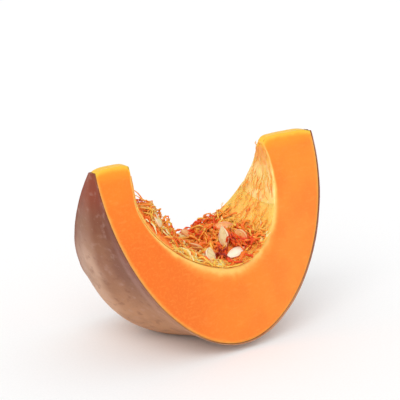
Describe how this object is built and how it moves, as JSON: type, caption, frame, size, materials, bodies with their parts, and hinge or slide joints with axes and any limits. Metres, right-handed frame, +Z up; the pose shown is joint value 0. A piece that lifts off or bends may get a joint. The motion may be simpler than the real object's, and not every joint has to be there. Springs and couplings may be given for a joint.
{
  "type": "pumpkin slice",
  "caption": "Wedge of ribbed pumpkin cut stem to blossom end, standing on its rind, with an open seed hollow lined with stringy pulp and flat seeds.",
  "frame": {"origin": "centre of the bottom of the object's box, on the ground under the slice", "axes": "+X along the pumpkin's axis from the stem end to the blossom end, +Y towards the back cut face (the front cut face looks towards -Y), +Z up"},
  "size_m": [0.1844, 0.1014, 0.1329],
  "materials": {
    "flesh": "moist cut squash flesh, satin, deep orange, yellow next to the skin and round the hollow",
    "rind": "matte brown rind with a pale waxy bloom and tan ribs",
    "pulp": "wet orange-red strings and membranes",
    "seed_hull": "smooth cream seed hull with a raised rim, damp"
  },
  "bodies": {
    "root": {"pumpkin_flesh": "flesh", "pulp": "pulp", "seed_01": "seed_hull", "seed_02": "seed_hull", "seed_03": "seed_hull", "seed_04": "seed_hull", "seed_05": "seed_hull", "seed_06": "seed_hull", "seed_07": "seed_hull", "seed_08": "seed_hull", "seed_09": "seed_hull"}
  },
  "joints": []
}
